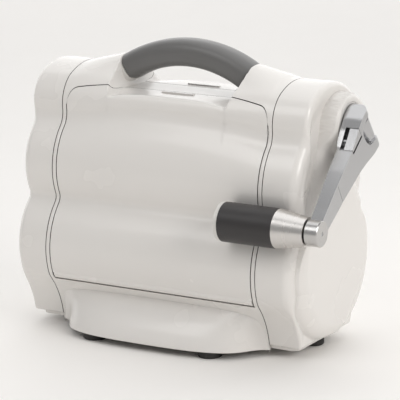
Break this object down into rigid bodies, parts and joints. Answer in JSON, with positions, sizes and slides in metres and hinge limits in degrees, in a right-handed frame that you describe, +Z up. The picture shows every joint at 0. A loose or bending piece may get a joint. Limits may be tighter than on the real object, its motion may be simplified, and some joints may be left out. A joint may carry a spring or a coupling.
{
  "type": "roller die cutting machine",
  "caption": "Portable roller die cutting machine with a lobed white body, fold-down doors, a top carry handle and a folding crank with a turning grip.",
  "frame": {"origin": "middle of the base, on the plane that the feet stand on", "axes": "+X towards the crank, -Y towards the front door, +Z up"},
  "size_m": [0.335, 0.1956, 0.286],
  "materials": {
    "shell_white": "satin gloss",
    "platform_white": "fine moulded texture",
    "handle_rubber": "soft touch",
    "grip_rubber": "soft touch",
    "crank_metal": "satin die cast",
    "cone_metal": "turned and brushed",
    "steel": "ground",
    "zinc": "zinc plated",
    "bronze": "sintered",
    "foot_rubber": "matt",
    "cap_plastic": "satin"
  },
  "bodies": {
    "base": {"base_tray": "shell_white", "front_skirt": "shell_white", "rear_skirt": "shell_white", "rubber_feet": "foot_rubber", "foot_screws": "zinc", "left_end_shell": "shell_white", "right_end_shell": "shell_white", "center_shell": "shell_white", "hinge_pins": "steel", "handle_core": "shell_white", "handle_grip": "handle_rubber", "handle_collars": "cap_plastic", "left_side_frame": "zinc", "right_side_frame": "zinc", "tie_rods": "zinc", "tie_rod_nuts": "zinc", "deck_plate": "steel", "front_guard": "platform_white", "rear_guard": "platform_white", "roller_bushes": "bronze", "crank_bush": "bronze", "idler_pin": "steel", "idler_clip": "steel", "shell_screws": "zinc"},
    "crank": {"crank_shaft": "steel", "pinion": "steel", "crank_rotor": "crank_metal", "fold_pin": "steel"},
    "arm": {"crank_arm": "crank_metal", "button_spring": "steel", "grip_spindle": "steel"},
    "button": {"release_button": "crank_metal"},
    "grip": {"grip_cone": "cone_metal", "grip_sleeve": "grip_rubber", "grip_cap": "cap_plastic"},
    "idler": {"idler_gear": "steel"},
    "upper_roll": {"upper_roller": "steel", "upper_roller_gear": "steel"},
    "lower_roll": {"lower_roller": "steel", "lower_roller_gear": "steel"},
    "front_door": {"front_door_panel": "shell_white", "front_door_platform": "platform_white", "front_latch_springs": "steel"},
    "rear_door": {"rear_door_panel": "shell_white", "rear_door_platform": "platform_white", "rear_latch_springs": "steel"},
    "front_catch": {"front_latch": "shell_white"},
    "rear_catch": {"rear_latch": "shell_white"}
  },
  "joints": [
    {"name": "crank_turn", "type": "hinge", "parent": "base", "child": "crank", "pos_m": [0.17475, 0.014, 0.214], "axis": [-1, 0, 0], "range_deg": [0, 260]},
    {"name": "crank_fold", "type": "hinge", "parent": "crank", "child": "arm", "pos_m": [0.17475, 0.014, 0.214], "axis": [0, -0.6198, 0.7848], "range_deg": [0, 180]},
    {"name": "fold_button", "type": "slide", "parent": "arm", "child": "button", "axis": [-1, 0, 0], "range_m": [0, 0.003], "stiffness_N_per_m": 400, "springref_m": -0.001, "deforming": ["button_spring"]},
    {"name": "grip_spin", "type": "hinge", "parent": "arm", "child": "grip", "pos_m": [0.17475, -0.087, 0.13423], "axis": [1, 0, 0], "continuous": true},
    {"name": "idler_turn", "type": "hinge", "parent": "base", "child": "idler", "pos_m": [0.129, -0.00222, 0.17096], "axis": [-1, 0, 0], "range_deg": [-126.8, 0]},
    {"name": "upper_roller_turn", "type": "hinge", "parent": "base", "child": "upper_roll", "pos_m": [0, 0, 0.114], "axis": [-1, 0, 0], "range_deg": [0, 151]},
    {"name": "lower_roller_turn", "type": "hinge", "parent": "base", "child": "lower_roll", "pos_m": [0, 0, 0.062], "axis": [-1, 0, 0], "range_deg": [-151, 0]},
    {"name": "front_door_open", "type": "hinge", "parent": "base", "child": "front_door", "pos_m": [0, -0.0735, 0.06], "axis": [1, 0, 0], "range_deg": [0, 90]},
    {"name": "rear_door_open", "type": "hinge", "parent": "base", "child": "rear_door", "pos_m": [0, 0.0735, 0.06], "axis": [-1, 0, 0], "range_deg": [0, 90]},
    {"name": "front_latch_slide", "type": "slide", "parent": "front_door", "child": "front_catch", "axis": [0, -1, 0], "range_m": [0, 0.0035], "stiffness_N_per_m": 300, "springref_m": -0.001, "deforming": ["front_latch_springs"]},
    {"name": "rear_latch_slide", "type": "slide", "parent": "rear_door", "child": "rear_catch", "axis": [0, 1, 0], "range_m": [0, 0.0035], "stiffness_N_per_m": 300, "springref_m": -0.001, "deforming": ["rear_latch_springs"]}
  ],
  "couplings": [
    {"joint": "idler_turn", "follows": "crank_turn", "ratio": -0.48387},
    {"joint": "upper_roller_turn", "follows": "crank_turn", "ratio": 0.57692},
    {"joint": "lower_roller_turn", "follows": "crank_turn", "ratio": -0.57692},
    {"joint": "front_door_open", "follows": "crank_fold", "ratio": 0.5}
  ]
}
